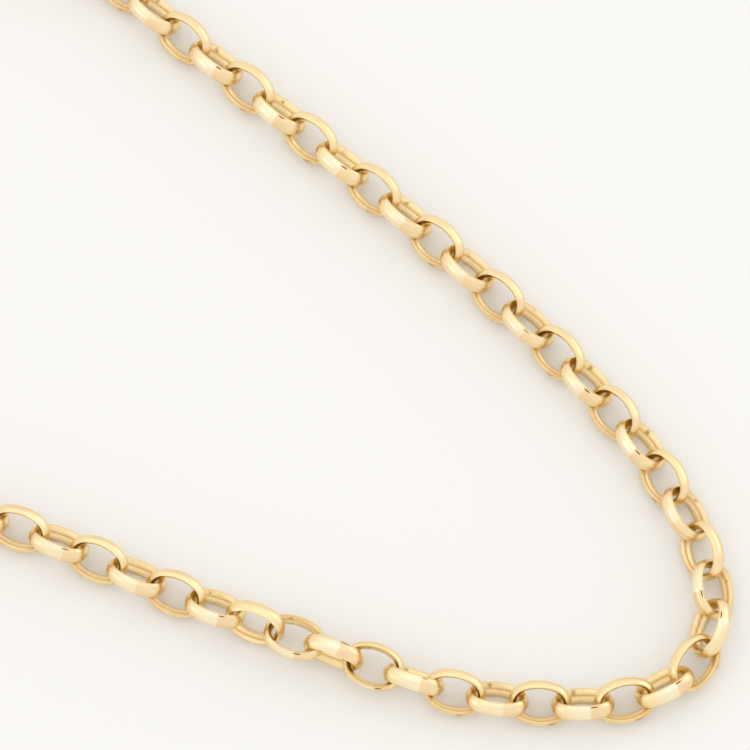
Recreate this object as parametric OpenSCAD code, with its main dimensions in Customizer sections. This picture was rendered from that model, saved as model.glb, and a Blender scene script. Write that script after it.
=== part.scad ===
// Oval belcher neck chain of half-round gold wire, laid on a table as a closed loop.
// X runs to the right, Y away from the viewer, Z up, and the table is at Z = 0.
// The links lean to the left and right in turn, as such a chain lies down by itself.

/* [Link] */
// Inner length of a link's oval opening
opening_l = 5.9; // [5.5:0.1:6.3]
// Inner width of a link's oval opening
opening_w = 3.9; // [3.8:0.1:4.2]
// Thickness of the wire from the inner to the outer face
wall = 1.05; // [0.9:0.05:1.1]
// Radius of the wire's outer face, seen in section
dome_r = 1.25; // [1.15:0.05:1.3]
// Radius of the wire's gently crowned inner face, seen in section
crown_r = 1.5; // [1.3:0.1:1.6]

/* [Clasp] */
// Diameter of the bolt ring at the middle of its wire
ring_d = 7.2; // [7:0.2:7.6]
// Thickness of the bolt ring's wire
ring_wire = 1.6; // [1.4:0.1:1.8]
// Diameter of the soldered eye at the middle of its wire
eye_d = 4.6; // [4.4:0.2:5]
// Thickness of the eye's wire
eye_wire = 1.1; // [0.9:0.1:1.2]
// Lean of the bolt ring away from flat, in degrees
clasp_lean = 28; // [26:1:34]

/* [Chain] */
// Number of links from the bolt ring round to its eye
link_count = 84; // [84:2:96]
// Number of links in the first of the chain's two strands
first_count = 42; // [30:1:50]

/* [Hidden] */
$fn = 48;
GOLD = [0.93, 0.80, 0.58];

// The chain's route round the neck, clockwise from the clasp. Its size follows from the number of links.
// x and y are where it lies, and the leans are the tilts of the even and the odd links:
// 0 is flat, and a positive lean turns a link's upper face to the outside of the loop.
// Draw is how far the links are drawn apart, less than 1 where a bend pushes them together.
// columns: x, y, even lean, odd lean, draw
ROUTE = [
    [-90.5, 10, 41, -41, 0.99],
    [-87, 27.8, 41, -41, 0.99],
    [-72, 43.4, 41, -41, 0.99],
    [-42, 53.3, 41, -41, 0.99],
    [-9, 50.6, 41, -41, 0.99],
    [10.5, 46.9, 46, -42, 1],
    [23.5, 36.5, 47, -43, 1],
    [47.6, 15.8, 51, -41, 1],
    [64, 0.7, 39, -37, 1],
    [78.1, -14.4, 42, -36, 1],
    [87.3, -28.2, 39, -38, 1],
    [90.9, -40.3, 36, -53, 0.965],
    [87.9, -49.1, 32, -45, 0.91],
    [79.7, -53.4, 37, -55, 0.99],
    [68.5, -53.7, 37, -36, 0.995],
    [58, -52.3, 38, -47, 1],
    [53.2, -50.8, 28, -67, 0.985],
    [42.6, -47, 7, -91, 0.98],
    [32.6, -43, -37, -122, 0.995],
    [23, -39.2, -43, -143, 1],
    [3.1, -30.6, -47, -139, 1],
    [-27.9, -21.8, -41, -139, 1],
    [-54, -22.6, -41, -139, 1],
    [-76, -17.4, -41, -139, 0.99],
    [-88, -5.8, -41, -139, 0.99]
];
STOPS = len(ROUTE);
STEPS = 12; // short straight steps between two stops of the route

// A smooth closed curve through the stops: cubic pieces whose slope at a stop follows its two neighbours.
function stop(i) = [ROUTE[(i + STOPS) % STOPS][0], ROUTE[(i + STOPS) % STOPS][1]];
function chord(i) = norm(stop(i + 1) - stop(i));
function slope(i) = (stop(i + 1) - stop(i - 1)) / (chord(i - 1) + chord(i));
function curve(i, u) =
    (2 * u * u * u - 3 * u * u + 1) * stop(i)
    + (u * u * u - 2 * u * u + u) * chord(i) * slope(i)
    + (3 * u * u - 2 * u * u * u) * stop(i + 1)
    + (u * u * u - u * u) * chord(i) * slope(i + 1);

// The route walked in short steps, with the length of fully drawn chain used up at each of them.
ENDS = STOPS * STEPS;
function draw(i) = ROUTE[i % STOPS][4];
function between(from, to, share) = from + (to - from) * share;
function step_draw(n) =
    between(draw(floor(n / STEPS)), draw(floor(n / STEPS) + 1), (n % STEPS + 0.5) / STEPS);
WALK = [for (n = [0 : ENDS]) curve(floor(n / STEPS), (n % STEPS) / STEPS)];
STRETCH = [for (n = [0 : ENDS - 1]) norm(WALK[n + 1] - WALK[n]) / step_draw(n)];
WALKED = [for (n = 0, s = 0; n <= ENDS; s = s + (n < ENDS ? STRETCH[n] : 0), n = n + 1) s];

// The clasp lies across the route's start: the ring before it and the eye behind it.
SLACK = 0.62; // how far an end link stands in from the wire that holds it
GIVE = 0.5; // how much closer two links lie than drawn taut
CLASP_SPAN = (ring_d + eye_d) / 2;
RING_REACH = (ring_d - ring_wire + opening_l) / 2 - SLACK;
EYE_REACH = (eye_d - eye_wire + opening_l) / 2 - SLACK;
PITCH = opening_l - GIVE;
FIRST_AT = CLASP_SPAN / 2 + RING_REACH;
ROUTE_LENGTH = FIRST_AT + (link_count - 1) * PITCH + EYE_REACH + CLASP_SPAN / 2;

// The walk brought to that length, as tables of place and lean by the length of chain used up.
SIZE = ROUTE_LENGTH / WALKED[ENDS];
X_AT = [for (n = [0 : ENDS]) [WALKED[n] * SIZE, WALK[n][0] * SIZE]];
Y_AT = [for (n = [0 : ENDS]) [WALKED[n] * SIZE, WALK[n][1] * SIZE]];
EVEN_AT = [for (i = [0 : STOPS - 1]) [WALKED[i * STEPS] * SIZE, ROUTE[i][2]]];
ODD_AT = [for (i = [0 : STOPS - 1]) [WALKED[i * STEPS] * SIZE, ROUTE[i][3]]];

// Where link i lies and how it leans.
// A link rests on the table, or is held up by its two neighbours where they stand higher.
function along(i) = FIRST_AT + i * PITCH;
function lean(i) = lookup(along(i), i % 2 == 0 ? EVEN_AT : ODD_AT);
function rest_height(lean) = (opening_w / 2 + wall - dome_r) * abs(sin(lean)) + dome_r;
function height(i) =
    max(rest_height(lean(i)), (rest_height(lean(i - 1)) + rest_height(lean(i + 1))) / 2);
function route_point(s) = [lookup(s, X_AT), lookup(s, Y_AT)];
function centre(i) = [route_point(along(i))[0], route_point(along(i))[1], height(i)];
function direction(i) = centre(i + 1) - centre(i - 1);
function heading(i) = atan2(direction(i)[1], direction(i)[0]);
function climb(i) = asin(direction(i)[2] / norm(direction(i)));

// Section of the wire: a half-round with a crowned inner face, its inner face at x = 0.
module wire_section() {
    intersection() {
        translate([wall - dome_r, 0]) circle(dome_r);
        translate([crown_r, 0]) circle(crown_r);
    }
}

// The oval is four arcs that meet smoothly.
// The line through the centres of an end arc and a side arc rises 12 for each 5 along.
ARC_UNIT = (opening_l - opening_w) / 8;
END_R = opening_l / 2 - 5 * ARC_UNIT;
SIDE_R = END_R + 13 * ARC_UNIT;
END_CENTRE = 5 * ARC_UNIT;
SIDE_CENTRE = 12 * ARC_UNIT;
WEDGE = 0.8; // reach of the wedge that cuts an arc from a whole ring, in fives and twelves

module arc(radius, wedge) {
    intersection() {
        rotate_extrude() translate([radius, 0]) wire_section();
        translate([0, 0, -dome_r]) linear_extrude(2 * dome_r) polygon(wedge);
    }
}

module link() {
    for (turn = [0, 180]) rotate(turn) {
        translate([END_CENTRE, 0, 0])
            arc(END_R, [[0, 0], [5 * WEDGE, -12 * WEDGE], [5 * WEDGE, 12 * WEDGE]]);
        translate([0, -SIDE_CENTRE, 0])
            arc(SIDE_R, [[0, 0], [5 * WEDGE, 12 * WEDGE], [-5 * WEDGE, 12 * WEDGE]]);
    }
}

// Links with the numbers from first to last, each turned along the chain and leaned over.
module strand(first, last) {
    for (i = [first : last])
        translate(centre(i))
            rotate([0, -climb(i), heading(i)])
                rotate([-lean(i), 0, 0]) link();
}

module first_strand() {
    color(GOLD) strand(0, first_count - 1);
}

module second_strand() {
    color(GOLD) strand(first_count, link_count - 1);
}

// A plain bolt ring with its soldered eye, one piece, leaning as the links do.
module ring(d, wire) {
    rotate_extrude() translate([d / 2, 0]) circle(d = wire);
}

module clasp() {
    ahead = route_point(CLASP_SPAN);
    behind = route_point(ROUTE_LENGTH - CLASP_SPAN);
    rest = ring_d / 2 * sin(clasp_lean) + ring_wire / 2;
    color(GOLD)
        translate([route_point(0)[0], route_point(0)[1], rest])
            rotate(atan2(ahead[1] - behind[1], ahead[0] - behind[0]))
                rotate([clasp_lean, 0, 0]) {
                    translate([CLASP_SPAN / 2, 0, 0]) ring(ring_d, ring_wire);
                    translate([-CLASP_SPAN / 2, 0, 0]) ring(eye_d, eye_wire);
                }
}

first_strand();
second_strand();
clasp();
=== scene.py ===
"""Looks of the oval belcher neck chain: a laid loop of half-round links in polished pale yellow gold."""

import math

import bpy
import numpy as np
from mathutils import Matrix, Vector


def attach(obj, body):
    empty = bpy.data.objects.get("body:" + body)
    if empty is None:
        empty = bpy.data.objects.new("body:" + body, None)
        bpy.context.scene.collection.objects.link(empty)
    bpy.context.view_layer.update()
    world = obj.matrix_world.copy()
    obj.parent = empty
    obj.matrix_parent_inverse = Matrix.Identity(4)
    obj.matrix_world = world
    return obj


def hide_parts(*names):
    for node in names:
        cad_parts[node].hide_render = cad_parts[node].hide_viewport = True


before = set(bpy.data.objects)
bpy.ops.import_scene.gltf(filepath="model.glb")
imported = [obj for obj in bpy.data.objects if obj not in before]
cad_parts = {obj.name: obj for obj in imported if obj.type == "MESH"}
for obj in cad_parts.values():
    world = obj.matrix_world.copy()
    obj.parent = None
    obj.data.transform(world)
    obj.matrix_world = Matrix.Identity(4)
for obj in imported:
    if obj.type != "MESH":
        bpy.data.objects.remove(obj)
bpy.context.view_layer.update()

MM = 0.001

# The link, in millimetres: its oval opening and the half-round wire round it.
OPENING_L, OPENING_W, WALL = 5.9, 3.9, 1.05
DOME_R = 1.25  # the wire's outer face
FACE_R = 1.5  # the wire's gently crowned inner face
RIM_R = 0.05  # the worn edge between the two faces

# The oval's four arcs, with the line through their centres rising 12 for each 5 along.
ARC_UNIT = (OPENING_L - OPENING_W) / 8
END_CENTRE, SIDE_CENTRE = 5 * ARC_UNIT, 12 * ARC_UNIT
END_R = OPENING_L / 2 - END_CENTRE
SIDE_R = END_R + 13 * ARC_UNIT

# The chain and its clasp.
LINK_COUNT, FIRST_COUNT = 84, 42
RING_D, RING_WIRE, EYE_D, EYE_WIRE, CLASP_LEAN = 7.2, 1.6, 4.6, 1.1, 28
SLACK = 0.62  # how far an end link stands in from the wire that holds it
GIVE = 0.5  # how much closer two links lie than drawn taut

# The route round the neck, clockwise from the clasp: x, y, lean of the even and of the odd links, draw.
ROUTE = np.array([
    [-90.5, 10, 41, -41, 0.99],
    [-87, 27.8, 41, -41, 0.99],
    [-72, 43.4, 41, -41, 0.99],
    [-42, 53.3, 41, -41, 0.99],
    [-9, 50.6, 41, -41, 0.99],
    [10.5, 46.9, 46, -42, 1],
    [23.5, 36.5, 47, -43, 1],
    [47.6, 15.8, 51, -41, 1],
    [64, 0.7, 39, -37, 1],
    [78.1, -14.4, 42, -36, 1],
    [87.3, -28.2, 39, -38, 1],
    [90.9, -40.3, 36, -53, 0.965],
    [87.9, -49.1, 32, -45, 0.91],
    [79.7, -53.4, 37, -55, 0.99],
    [68.5, -53.7, 37, -36, 0.995],
    [58, -52.3, 38, -47, 1],
    [53.2, -50.8, 28, -67, 0.985],
    [42.6, -47, 7, -91, 0.98],
    [32.6, -43, -37, -122, 0.995],
    [23, -39.2, -43, -143, 1],
    [3.1, -30.6, -47, -139, 1],
    [-27.9, -21.8, -41, -139, 1],
    [-54, -22.6, -41, -139, 1],
    [-76, -17.4, -41, -139, 0.99],
    [-88, -5.8, -41, -139, 0.99],
])
STEPS = 12  # short steps between two stops of the route

# How finely a link's surface is divided: along its wire, and over the dome, each rim and the inner face.
ALONG, DOME_STEPS, RIM_STEPS, FACE_STEPS = 96, 10, 4, 6
FINER = 40  # how many times finer the oval is walked to measure it
CLASP_ALONG, CLASP_ROUND = 160, 32
SEED = 84  # of the random draws

# Unevenness of a link's wire: how many waves go round the oval, and half the depth of each in millimetres.
WAVES = ((2, 0.001), (3, 0.002), (5, 0.0015), (7, 0.001))

SOLDER_SWELL, SOLDER_REACH = 0.22, 0.9  # how much the clasp's wires swell where they meet, and how far
SEAM_OFF, SEAM_STRAY = 10, 2.5  # how far a link's solder seam is from the middle of its wall, in degrees
NEST_REACH = 0.5  # how far from the ends the painted shade and extra roughness reach, as the sine of the oval's normal angle


# Where the links lie

def route_walk():
    """The route in short steps and the length of drawn chain used up at each.

    Between two stops it is a cubic piece whose slope at a stop follows its two neighbours.
    A step uses up its own length divided by the draw halfway along it.
    """
    stops, draw = ROUTE[:, :2], ROUTE[:, 4]
    ahead = np.roll(stops, -1, 0)
    chord = np.linalg.norm(ahead - stops, axis=1)
    slope = (ahead - np.roll(stops, 1, 0)) / (np.roll(chord, 1) + chord)[:, None]
    leave, arrive = chord[:, None] * slope, chord[:, None] * np.roll(slope, -1, 0)
    u = (np.arange(STEPS) / STEPS)[None, :, None]
    points = (
        (2 * u**3 - 3 * u**2 + 1) * stops[:, None]
        + (u**3 - 2 * u**2 + u) * leave[:, None]
        + (3 * u**2 - 2 * u**3) * ahead[:, None]
        + (u**3 - u**2) * arrive[:, None]
    ).reshape(-1, 2)
    points = np.vstack([points, points[:1]])
    halfway = (np.arange(STEPS) + 0.5) / STEPS
    step_draw = (draw[:, None] + (np.roll(draw, -1) - draw)[:, None] * halfway).ravel()
    steps = np.linalg.norm(np.diff(points, axis=0), axis=1) / step_draw
    return points, np.r_[0, np.cumsum(steps)]


def route_tables():
    """The walk brought to the length that the links need: its points, and the chain used up at each.

    Gives also where the first link is, the pitch of the links, the whole length and the clasp's span.
    """
    points, walked = route_walk()
    span = (RING_D + EYE_D) / 2
    first_at = span / 2 + (RING_D - RING_WIRE + OPENING_L) / 2 - SLACK
    last_gap = span / 2 + (EYE_D - EYE_WIRE + OPENING_L) / 2 - SLACK
    pitch = OPENING_L - GIVE
    length = first_at + (LINK_COUNT - 1) * pitch + last_gap
    size = length / walked[-1]
    return points * size, walked * size, first_at, pitch, length, span


def link_places():
    """Centre of every link, and its own three axes: along the chain, across it, and out of its face.

    A link rests on the table, or is held up by its two neighbours where they stand higher.
    It points from the one neighbour's centre to the other's, and leans about that line.
    """
    points, walked, first_at, pitch, _, _ = route_tables()
    number = np.arange(-2, LINK_COUNT + 2)
    at = first_at + number * pitch
    stops_at = walked[::STEPS][:-1]
    leans = np.where(
        number % 2 == 0, np.interp(at, stops_at, ROUTE[:, 2]), np.interp(at, stops_at, ROUTE[:, 3])
    )
    lean = np.radians(leans)
    rest = (OPENING_W / 2 + WALL - DOME_R) * np.abs(np.sin(lean)) + DOME_R
    height = np.maximum(rest[1:-1], (rest[:-2] + rest[2:]) / 2)
    at = at[1:-1]
    centre = np.c_[np.interp(at, walked, points[:, 0]), np.interp(at, walked, points[:, 1]), height]
    run = centre[2:] - centre[:-2]
    ahead = run / np.linalg.norm(run, axis=1, keepdims=True)
    left = np.c_[-ahead[:, 1], ahead[:, 0], np.zeros(len(ahead))]
    left /= np.linalg.norm(left, axis=1, keepdims=True)
    up = np.cross(ahead, left)
    lean = lean[2:-2, None]
    across = np.cos(lean) * left - np.sin(lean) * up
    out = np.sin(lean) * left + np.cos(lean) * up
    return centre[1:-1], ahead, across, out


# The link's surface

def oval(turn):
    """Centre and radius of the opening's arc for each angle of its outward normal: two ends, two sides.

    An end arc reaches to the normal that rises 12 for each 5 along, whose cosine is 5 in 13.
    """
    at_end = np.abs(np.cos(turn)) > 5 / 13
    x = np.where(at_end, np.sign(np.cos(turn)) * END_CENTRE, 0)
    y = np.where(at_end, 0, -np.sign(np.sin(turn)) * SIDE_CENTRE)
    return x, y, np.where(at_end, END_R, SIDE_R)


def even_turns(count):
    """Normal angles at even distances along the middle of the wire, once round from the link's back end.

    Gives also the distances and the whole length. A short piece is as long as its turn times its radius.
    """
    fine = np.linspace(-math.pi, math.pi, FINER * count + 1)
    middle = (fine[1:] + fine[:-1]) / 2
    length = np.r_[0, np.cumsum((oval(middle)[2] + WALL / 2) * np.diff(fine))]
    along = np.linspace(0, length[-1], count + 1)[:-1]
    return np.interp(along, length, fine), along, length[-1]


def wire_section():
    """Section of the wire as arcs carried by their normal angle: the dome, a rim, the inner face, a rim.

    Gives for each point its normal angle, its reach out from the opening and its height.
    A rim's circle lies inside both faces and touches them, so its centre is where two circles meet:
    round the dome's centre at the dome's radius less the rim's, and round the face's centre likewise.
    """
    dome_x, face_x = WALL - DOME_R, FACE_R
    apart, from_dome, from_face = face_x - dome_x, DOME_R - RIM_R, FACE_R - RIM_R
    rim_x = dome_x + (apart**2 + from_dome**2 - from_face**2) / (2 * apart)
    rim_y = math.sqrt(from_dome**2 - (rim_x - dome_x) ** 2)
    dome_end = math.atan2(rim_y, rim_x - dome_x)
    face_start = math.atan2(rim_y, rim_x - face_x)
    angles, xs, ys, radii = [], [], [], []
    for start, end, steps, x, y, radius in (
        (-dome_end, dome_end, DOME_STEPS, dome_x, 0, DOME_R),
        (dome_end, face_start, RIM_STEPS, rim_x, rim_y, RIM_R),
        (face_start, 2 * math.pi - face_start, FACE_STEPS, face_x, 0, FACE_R),
        (2 * math.pi - face_start, 2 * math.pi - dome_end, RIM_STEPS, rim_x, -rim_y, RIM_R),
    ):
        angles.append(np.linspace(start, end, steps + 1)[:-1])
        xs.append(np.full(steps, x))
        ys.append(np.full(steps, y))
        radii.append(np.full(steps, radius))
    angle = np.concatenate(angles)
    out = np.concatenate(xs) + np.concatenate(radii) * np.cos(angle)
    up = np.concatenate(ys) + np.concatenate(radii) * np.sin(angle)
    return angle, out, up


def link_surface(links, rng):
    """Points of several links on one grid each: links by steps along the wire by steps round its section.

    A point is the centre of the oval's arc for its angle, plus the arc's radius and the section's reach
    along the normal, plus the section's height along the link's own upright.
    The unevenness of the hand-finished wire is a sum of waves along and round it. Each goes from nothing
    to its full depth into the metal.
    """
    centre, ahead, across, out = (part[links] for part in link_places())
    turn, along, length = even_turns(ALONG)
    x, y, radius = oval(turn)
    normal_x, normal_y = np.cos(turn), np.sin(turn)
    angle, reach, rise = wire_section()
    dent = np.zeros((len(links), len(turn), len(angle)))
    for waves, depth in WAVES:
        phase = rng.uniform(0, 2 * math.pi, (2, len(links), 1, 1))
        around = waves * 2 * math.pi * along[None, :, None] / length + phase[0]
        dent -= depth * (1 + np.sin(around) * np.cos(angle + phase[1]))
    from_arc = radius[:, None] + (reach + dent * np.cos(angle))
    local_x = x[:, None] + from_arc * normal_x[:, None]
    local_y = y[:, None] + from_arc * normal_y[:, None]
    local_z = rise + dent * np.sin(angle)
    return (
        centre[:, None, None]
        + local_x[..., None] * ahead[:, None, None]
        + local_y[..., None] * across[:, None, None]
        + local_z[..., None] * out[:, None, None]
    )


def closed_grids(name, points, uv_u, uv_v, attributes):
    """One mesh of closed grids: points is grids by steps along by steps round, by three, in millimetres.

    uv_u and uv_v give the map's corners at each step, with one more for the step that closes the grid.
    attributes are point values on the same grids.
    """
    grids, across, around = points.shape[:3]
    index = np.arange(grids * across * around).reshape(grids, across, around)
    next_along, next_round = np.roll(index, -1, 1), np.roll(index, -1, 2)
    corners = np.stack([index, next_along, np.roll(next_along, -1, 2), next_round], -1).reshape(-1, 4)
    mesh = bpy.data.meshes.new(name)
    mesh.vertices.add(index.size)
    mesh.vertices.foreach_set("co", (points * MM).astype(np.float32).ravel())
    mesh.loops.add(corners.size)
    mesh.loops.foreach_set("vertex_index", corners.astype(np.int32).ravel())
    mesh.polygons.add(len(corners))
    mesh.polygons.foreach_set("loop_start", np.arange(0, corners.size, 4, dtype=np.int32))
    mesh.polygons.foreach_set("use_smooth", np.ones(len(corners), bool))
    u = np.broadcast_to(uv_u, (grids, across + 1))
    low_u, high_u = u[:, :-1, None], u[:, 1:, None]
    low_v, high_v = uv_v[None, None, :-1], uv_v[None, None, 1:]
    shape = (grids, across, around)
    map_u = np.stack([np.broadcast_to(c, shape) for c in (low_u, high_u, high_u, low_u)], -1)
    map_v = np.stack([np.broadcast_to(c, shape) for c in (low_v, low_v, high_v, high_v)], -1)
    layer = mesh.uv_layers.new(name="wire")
    layer.uv.foreach_set("vector", np.stack([map_u, map_v], -1).astype(np.float32).ravel())
    for key, values in attributes.items():
        values = np.broadcast_to(values, shape).astype(np.float32)
        mesh.attributes.new(key, "FLOAT", "POINT").data.foreach_set("value", values.ravel())
    mesh.update(calc_edges=True)
    mesh.validate()
    piece = bpy.data.objects.new(name, mesh)
    bpy.context.scene.collection.objects.link(piece)
    return piece


# Shader maths

class Value:
    """A socket in an expression: + - and * with another value or a number add a Math node."""

    def __init__(self, tree, socket):
        self.tree, self.socket = tree, socket

    def math(self, operation, *others):
        """A Math node of this operation on this value and the others."""
        return self.tree.node("ShaderNodeMath", {"operation": operation}, dict(enumerate((self, *others))))

    def __add__(self, other):
        return self.math("ADD", other)

    def __mul__(self, other):
        return self.math("MULTIPLY", other)

    def __sub__(self, other):
        return self.math("SUBTRACT", other)

    def __rsub__(self, other):
        return self.math("MULTIPLY_ADD", -1, other)

    __radd__, __rmul__ = __add__, __mul__

    def fade(self, low, high):
        """0 at low and 1 at high, eased between the two."""
        settings = {"interpolation_type": "SMOOTHSTEP"}
        inputs = {"Value": self, "From Min": low, "From Max": high}
        return self.tree.node("ShaderNodeMapRange", settings, inputs)


class Shading:
    """A material's node tree, with one way to add a node."""

    def __init__(self, name):
        self.material = bpy.data.materials.new(name)
        self.material.use_nodes = True
        self.nodes, self.links = self.material.node_tree.nodes, self.material.node_tree.links
        self.nodes.clear()

    def node(self, kind, settings=None, inputs=None, output=0):
        """Adds a node: its settings, then the values or links of its sockets. Gives the chosen output."""
        made = self.nodes.new(kind)
        for key, value in (settings or {}).items():
            setattr(made, key, value)
        for key, value in (inputs or {}).items():
            if isinstance(value, Value):
                self.links.new(value.socket, made.inputs[key])
            else:
                made.inputs[key].default_value = value
        return Value(self, made.outputs[output]) if made.outputs else None

    def mix(self, share, first, second):
        """Colour between the first and the second. The node's colour sockets are 6, 7 and output 2."""
        settings = {"data_type": "RGBA", "clamp_factor": True}
        return self.node("ShaderNodeMix", settings, {0: share, 6: first, 7: second}, output=2)

    def noise(self, place, scale, detail):
        """Soft noise from 0 to 1 over a place: its ripples in a unit, and how many finer layers it has."""
        return self.node("ShaderNodeTexNoise", inputs={"Vector": place, "Scale": scale, "Detail": detail})

    def carried(self, key):
        """A value that the mesh carries at its points."""
        return self.node("ShaderNodeAttribute", {"attribute_name": key}, output="Fac")

    def surface(self, inputs):
        """Ends the tree in one Principled surface."""
        shader = self.node("ShaderNodeBsdfPrincipled", inputs=inputs)
        self.node("ShaderNodeOutputMaterial", inputs={"Surface": shader})
        return self.material


# Finishes

GOLD = (0.965, 0.795, 0.49, 1)
# Pale is only for a painted highlight.
PALE = (0.97, 0.885, 0.68, 1)
PEACH = (0.96, 0.73, 0.47, 1)
STRAW = (0.95, 0.77, 0.385, 1)
# Rose is only for painted shade past the seam.
ROSE = (0.91, 0.66, 0.40, 1)
AMBER = (0.76, 0.54, 0.19, 1)
BROWN = (0.30, 0.16, 0.02, 1)
# Umber is for painted shade in the nests and a painted dark reflection along the rims.
UMBER = (0.60, 0.36, 0.02, 1)
# Dark is only for the painted dark reflection near the rim.
DARK = (0.11, 0.06, 0.018, 1)
EDGE = (1.0, 0.93, 0.80, 1)  # what a surface seen almost edge-on mirrors

# Noise over the gold: its ripples in a metre, and its finer layers.
TINT_NOISE, PATCH_NOISE = (330.0, 2.0), (900.0, 3.0)
# The drawing lines: ripples in a millimetre along and round the wire, then as above.
LINE_SCALE, LINE_NOISE = (0.16, 4.2, 1.0), (1.0, 2.0)

# Where a noise starts to show as a tint, and where it shows in full.
PEACH_FROM, STRAW_FROM, LINE_FROM = (0.42, 0.66), (0.5, 0.72), (0.53, 0.60)
ENDS_FROM, RIM_FROM, MARK_FROM = (0.3, 0.6), (0.3, 0.6), (0.4, 0.55)

# How much of a tint covers the gold where it is full.
STRAW_PATCH, AMBER_LINE = 0.5, 0.38
# The inner and end shares are painted shade: amber where the gold faces other gold.
STRAW_LINK, AMBER_INNER_SHADE, AMBER_ENDS_SHADE, AMBER_SEAM = 0.35, 0.2, 0.35, 0.25
# The rim share is a painted dark reflection.
UMBER_RIM_REFLECTION, BROWN_MARK = 0.6, 0.7
# The same, as the least and what the patches or the link's own tone add to it.
# Below: painted shade in the nests, a painted highlight before the seam and rosier painted shade after it.
UMBER_NEST_SHADE, PALE_SHEEN, ROSE_PAST_SEAM = (0.55, 0.7), (0.35, 0.4), (0.45, 0.4)

ROUGH, ROUGH_NEST = (0.24, 0.12), 0.08  # the least and what the patches add, and what the nests add
BUMP_STRENGTH, BUMP_DEPTH = 0.10, 0.00005
PATCH_RISE, LINE_RISE, SEAM_SINK, DASH_SINK = 0.4, 0.6, 0.5, 1.2

# Marks on a link, in millimetres: along its wire from the solder seam, and round it from the dome's crest.
SEAM_UNEVEN = 0.5  # how far the seam's line strays along the wire
SEAM_LINE = (0.02, 0.08)  # from its middle: where it is full and where it ends
SHEEN_IN, SHEEN_OUT = (-3.6, -1.0), (-0.08, 0.04)  # the painted highlight: the paler stretch before the seam, whose step ends the light's reflection
ROSY_IN, ROSY_OUT = (-0.04, 0.08), (0.8, 2.3)  # the painted shade: the rosier stretch after it, past the step that ends the light's reflection

# Painted dark reflection near the rim: its middle along and round the wire, and half its length and height.
DASH_AT, DASH_ROUND, DASH_LONG, DASH_HIGH = 0.2, 0.92, 0.50, 0.085
DASH_DRIFT = 0.4  # how much further along some links have it
DASH_BACK = 0.4  # twice the share of its half length that it is set back
DASH_RAGGED = 2.5  # how irregular its outline is
DASH_EDGE = (0.5, 1.3)  # its soft outline, by its reach squared
DASH_TONE = (0.1, 0.3)  # tones of the links that have it: none below the first, all of it above the second

# The brown mark on the wall opposite the seam: its middle past the seam, before it, and round the wire.
FAR_PAST, FAR_BEFORE, FAR_ROUND = 9.9, -9.2, 3.35
FAR_LONG, FAR_HIGH = (0.1, 0.5), (0.1, 0.4)  # from its middle: where it is full and where it ends

# Both rims, round from the middle of the inner face, where a dark line of reflection is painted.
FACE_EDGE, DOME_EDGE = 1.03, 2.65  # about where a rim starts and ends
RIM_IN = (FACE_EDGE - 0.25, FACE_EDGE - 0.05)  # where its brown fades in
RIM_OUT = (DOME_EDGE + 0.1, DOME_EDGE + 0.25)  # and out


def rising(least_more, value):
    """The least, and what a value from 0 to 1 adds to it."""
    least, more = least_more
    return least + more * value


def seam_masks(along, patch, inner):
    """The solder seam's line, the painted highlight before it and the rosier painted shade after it.

    The line is where the distance along the wire, made uneven by the patches, is nothing.
    """
    uneven = along + (patch - 0.5) * SEAM_UNEVEN
    seam = 1 - uneven.math("ABSOLUTE").fade(*SEAM_LINE)
    painted_sheen = along.fade(*SHEEN_IN) * (1 - uneven.fade(*SHEEN_OUT)) * (1 - inner)
    near_solder = uneven.fade(*ROSY_IN) * (1 - along.fade(*ROSY_OUT))
    return seam, painted_sheen, near_solder


def rim_reflection_mask(round_):
    """A painted dark reflection on both rims, by the distance round from the inner face's middle."""
    from_middle = (round_ - math.pi * DOME_R).math("ABSOLUTE")
    return from_middle.fade(*RIM_IN) * (1 - from_middle.fade(*RIM_OUT))


def dash_reflection_mask(along, round_, patch, tone):
    """The painted dark dash: an oval, where two squares and the patches add up to less than about 1."""
    dash_along = (along - DASH_AT - tone * DASH_DRIFT) * (1 / DASH_LONG)
    dash_round = (round_ - DASH_ROUND) * (1 / DASH_HIGH)
    squares = dash_along * dash_along + dash_round * dash_round
    reach = squares + (patch - 0.5) * DASH_RAGGED + dash_along * DASH_BACK
    return (1 - reach.fade(*DASH_EDGE)) * tone.fade(*DASH_TONE)


def far_mask(along, round_, patch):
    """The brown mark: near its middle along the wire and round it, where the patches are strong."""
    past, before = ((along - middle).math("ABSOLUTE") for middle in (FAR_PAST, FAR_BEFORE))
    far = past.math("MINIMUM", before)
    far_round = (round_ - FAR_ROUND).math("ABSOLUTE")
    return (1 - far.fade(*FAR_LONG)) * (1 - far_round.fade(*FAR_HIGH)) * patch.fade(*MARK_FROM)


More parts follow.
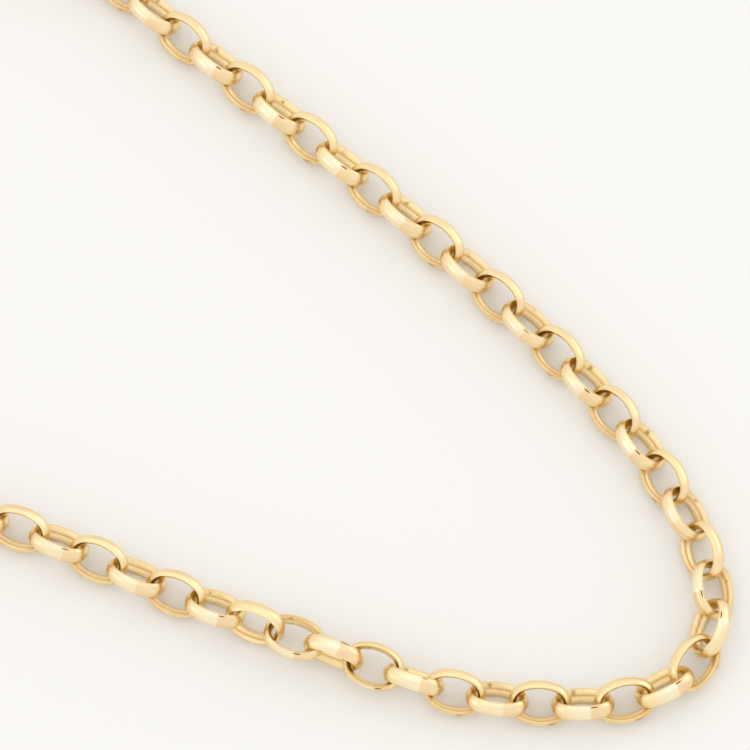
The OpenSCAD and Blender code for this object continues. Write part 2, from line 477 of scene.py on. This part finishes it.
def link_marks_and_painted_light(shading, wire, patch, lines, colour, rough, height):
    """A link's own tints and painted light over the gold, each laid over the last by its share.

    They are straw by the link's tone, painted shade in amber inside and at the ends and in brown where the
    links nest, a painted dark reflection along the rims, the solder seam with a painted highlight before it
    and rosier painted shade after it, the brown mark, and a painted dark reflection as a dash near the rim.
    Gives the colour, the roughness and the height with them.
    """
    tone, ends, inner = (shading.carried(key) for key in ("tone", "ends", "inner"))
    along, round_ = (
        shading.node("ShaderNodeSeparateXYZ", inputs={"Vector": wire}, output=axis) for axis in "XY"
    )
    nest = ends * inner
    seam, painted_sheen, near_solder = seam_masks(along, patch, inner)
    dash_reflection = dash_reflection_mask(along, round_, patch, tone)
    colour = shading.mix(tone * STRAW_LINK, colour, STRAW)
    # Painted shade: the inner faces turn amber, as gold mirroring gold inside the link.
    colour = shading.mix(inner * AMBER_INNER_SHADE, colour, AMBER)
    # Painted shade: amber at the link's ends, where its neighbours pass through.
    colour = shading.mix(ends * patch.fade(*ENDS_FROM) * AMBER_ENDS_SHADE, colour, AMBER)
    # Painted shade: umber deep in the nests, where the links hold each other.
    colour = shading.mix(nest * rising(UMBER_NEST_SHADE, patch), colour, UMBER)
    # Painted highlight: before the seam's step the wall mirrors the light and is paler.
    colour = shading.mix(painted_sheen * rising(PALE_SHEEN, tone), colour, PALE)
    # Painted shade: past the seam's step the wall misses the light's reflection and is rosier.
    colour = shading.mix(near_solder * rising(ROSE_PAST_SEAM, tone), colour, ROSE)
    colour = shading.mix(seam * AMBER_SEAM, colour, AMBER)
    # Painted reflection: brown along the rims, broken up by the drawing lines.
    colour = shading.mix(rim_reflection_mask(round_) * lines.fade(*RIM_FROM) * UMBER_RIM_REFLECTION, colour, UMBER)
    colour = shading.mix(far_mask(along, round_, patch) * BROWN_MARK, colour, BROWN)
    # Painted reflection: a dark dash near the rim on some links, with a slight dip in the bump.
    colour = shading.mix(dash_reflection, colour, DARK)
    return colour, rough + nest * ROUGH_NEST, height - seam * SEAM_SINK - dash_reflection * DASH_SINK


def polished_gold(name, marked):
    """Polished pale yellow gold, with faint rosy and straw tints and fine drawing lines along the wire.

    A marked gold also has the links' own tints and their painted light and shade.
    """
    shading = Shading(name)
    place = shading.node("ShaderNodeTexCoord", output="Object")
    wire = shading.node("ShaderNodeUVMap", {"uv_map": "wire"})
    tint = shading.noise(place, *TINT_NOISE)
    patch = shading.noise(place, *PATCH_NOISE)
    drawn = shading.node("ShaderNodeMapping", inputs={"Vector": wire, "Scale": LINE_SCALE})
    lines = shading.noise(drawn, *LINE_NOISE)
    colour = shading.mix(tint.fade(*PEACH_FROM), GOLD, PEACH)
    colour = shading.mix(patch.fade(*STRAW_FROM) * STRAW_PATCH, colour, STRAW)
    colour = shading.mix(lines.fade(*LINE_FROM) * AMBER_LINE, colour, AMBER)
    rough = rising(ROUGH, patch)
    height = patch * PATCH_RISE + lines * LINE_RISE
    if marked:
        colour, rough, height = link_marks_and_painted_light(shading, wire, patch, lines, colour, rough, height)
    bump_inputs = {"Strength": BUMP_STRENGTH, "Distance": BUMP_DEPTH, "Height": height}
    return shading.surface({
        "Base Color": colour,
        "Metallic": 1.0,
        "Specular Tint": EDGE,
        "Roughness": rough,
        "Normal": shading.node("ShaderNodeBump", inputs=bump_inputs),
    })


# The pieces

def stands_for(piece, node, gold):
    """Gives a piece its gold, sets it under the root body and hides the node of the frame that it stands
    for.
    """
    piece.data.materials.append(gold)
    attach(piece, "root")
    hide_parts(node)


def strand_piece(name, node, links, rng, gold):
    """The links with these numbers as one piece, which stands for a strand of the frame.

    A link's solder seam is in the wall on the viewer's side, a little off the middle.
    Its points carry its tone, which is one random number, and how near they are to the link's ends
    and to the middle of the inner face.
    """
    points = link_surface(links, rng)
    turn, along, length = even_turns(ALONG)
    angle, _, _ = wire_section()
    _, _, across, _ = link_places()
    near_turn = np.where(across[links, 1] < 0, 90 + SEAM_OFF, SEAM_OFF - 90)
    seam_turn = np.radians(near_turn + rng.uniform(-SEAM_STRAY, SEAM_STRAY, len(links)))
    seam_at = np.interp(seam_turn, turn, along)
    from_seam = np.append(along, length) - seam_at[:, None]
    round_mm = np.append(angle, angle[0] + 2 * math.pi) * DOME_R
    ends = np.exp(-((np.sin(turn) / NEST_REACH) ** 2))[None, :, None]
    inner = np.clip(-np.cos(angle), 0, 1)[None, None, :]
    tone = rng.uniform(0, 1, (len(links), 1, 1))
    marks = {"tone": tone, "ends": ends, "inner": inner}
    stands_for(closed_grids(name, points, from_seam, round_mm, marks), node, gold)


def clasp_piece(name, node, gold):
    """The bolt ring and its eye: two rings of round wire side by side, swollen with solder where they meet.

    Each is a circle of the wire's middle carried round by turn, with the wire's own circle carried by angle.
    Both are leaned over about the chain's line, and then turned to its heading at the route's start.
    """
    points, walked, _, _, length, span = route_tables()
    start, after, before = (
        np.array([np.interp(at, walked, points[:, 0]), np.interp(at, walked, points[:, 1])])
        for at in (0, span, length - span)
    )
    heading = math.atan2(*(after - before)[::-1])
    lean = math.radians(CLASP_LEAN)
    turn = np.linspace(-math.pi, math.pi, CLASP_ALONG + 1)
    angle = np.linspace(-math.pi, math.pi, CLASP_ROUND + 1)
    grids, maps = [], []
    for middle, wire, side in ((RING_D / 2, RING_WIRE / 2, 1), (EYE_D / 2, EYE_WIRE / 2, -1)):
        from_meeting = middle * (turn if side < 0 else (math.pi - np.abs(turn)))
        near_solder = 1 + SOLDER_SWELL * np.exp(-((from_meeting / SOLDER_REACH) ** 2))
        reach = middle + wire * near_solder[:, None] * np.cos(angle)
        local_x = side * span / 2 + reach * np.cos(turn)[:, None]
        local_y = reach * np.sin(turn)[:, None]
        local_z = wire * near_solder[:, None] * np.sin(angle)
        left = local_y * math.cos(lean) - local_z * math.sin(lean)
        up = local_y * math.sin(lean) + local_z * math.cos(lean)
        x = start[0] + local_x * math.cos(heading) - left * math.sin(heading)
        y = start[1] + local_x * math.sin(heading) + left * math.cos(heading)
        z = RING_D / 2 * math.sin(lean) + RING_WIRE / 2 + up
        grids.append(np.stack([x, y, z], -1)[:-1, :-1])
        maps.append(middle * turn)
    piece = closed_grids(name, np.stack(grids), np.stack(maps), angle * RING_WIRE / 2, {})
    stands_for(piece, node, gold)


rng = np.random.default_rng(SEED)
link_gold = polished_gold("link_gold", marked=True)
strand_piece("first_links", "first_strand", np.arange(FIRST_COUNT), rng, link_gold)
strand_piece("second_links", "second_strand", np.arange(FIRST_COUNT, LINK_COUNT), rng, link_gold)
clasp_piece("bolt_ring", "clasp", polished_gold("clasp_gold", marked=False))


# Stage, light and camera

# In metres and radians.
FLOOR_HALF, FLOOR_LEVEL = 3.0, -0.00001
FLOOR_COLOUR, FLOOR_ROUGH = (0.88, 0.87, 0.85, 1), 0.9

CAMERA_RISE, CAMERA_ANGLE = math.radians(70), math.radians(6.604)
CAMERA_AIM, CAMERA_AWAY = (0.04832, -0.00916, 0), 0.83005
CAMERA_CLIP = 0.01, 20

LIGHT_AIM = (0.03, 0, 0)
# columns: name, place, size, power, tint
LIGHTS = (
    ("overhead", (0.0, 0.30, 0.9), 1.3, 1.05, (1, 1, 1)),
    ("left_fill", (-0.9, -0.2, 0.5), 0.6, 0.45, (1, 1, 1)),
    ("right_back", (0.9, 0.5, 0.35), 0.8, 1.1, (0.86, 0.93, 1.0)),
)
STUDIO_COLOUR, STUDIO_STRENGTH = (1.0, 0.99, 0.97, 1), 0.99


def floor():
    """A pale plain floor just under the chain, far wider than the view."""
    mesh = bpy.data.meshes.new("floor")
    sides = ((-1, -1), (1, -1), (1, 1), (-1, 1))
    corners = [(x * FLOOR_HALF, y * FLOOR_HALF, FLOOR_LEVEL) for x, y in sides]
    mesh.from_pydata(corners, [], [(0, 1, 2, 3)])
    finish = Shading("pale_floor").surface({"Base Color": FLOOR_COLOUR, "Roughness": FLOOR_ROUGH})
    mesh.materials.append(finish)
    piece = bpy.data.objects.new("floor", mesh)
    bpy.context.scene.collection.objects.link(piece)


def softbox(name, place, size, power, tint):
    """A soft square light at a place, turned towards the chain."""
    data = bpy.data.lights.new(name, "AREA")
    data.shape, data.size, data.energy, data.color = "SQUARE", size, power, tint
    light = bpy.data.objects.new(name, data)
    light.location = place
    direction = Vector(LIGHT_AIM) - Vector(place)
    light.rotation_euler = direction.to_track_quat("-Z", "Y").to_euler()
    bpy.context.scene.collection.objects.link(light)


def camera():
    """The photograph's view: 70 degrees above the floor, from far off, with a narrow angle."""
    data = bpy.data.cameras.new("camera")
    data.angle = CAMERA_ANGLE
    data.clip_start, data.clip_end = CAMERA_CLIP
    view = bpy.data.objects.new("camera", data)
    back = Vector((0, -math.cos(CAMERA_RISE), math.sin(CAMERA_RISE)))
    view.location = Vector(CAMERA_AIM) + CAMERA_AWAY * back
    view.rotation_euler = (math.pi / 2 - CAMERA_RISE, 0, 0)
    bpy.context.scene.collection.objects.link(view)
    bpy.context.scene.camera = view


def studio():
    """Even pale light from all round."""
    world = bpy.data.worlds.new("studio")
    world.use_nodes = True
    background = world.node_tree.nodes["Background"].inputs
    background["Color"].default_value = STUDIO_COLOUR
    background["Strength"].default_value = STUDIO_STRENGTH
    bpy.context.scene.world = world
    bpy.context.scene.view_settings.view_transform = "Standard"


floor()
camera()
for light in LIGHTS:
    softbox(*light)
studio()

bpy.context.view_layer.update()
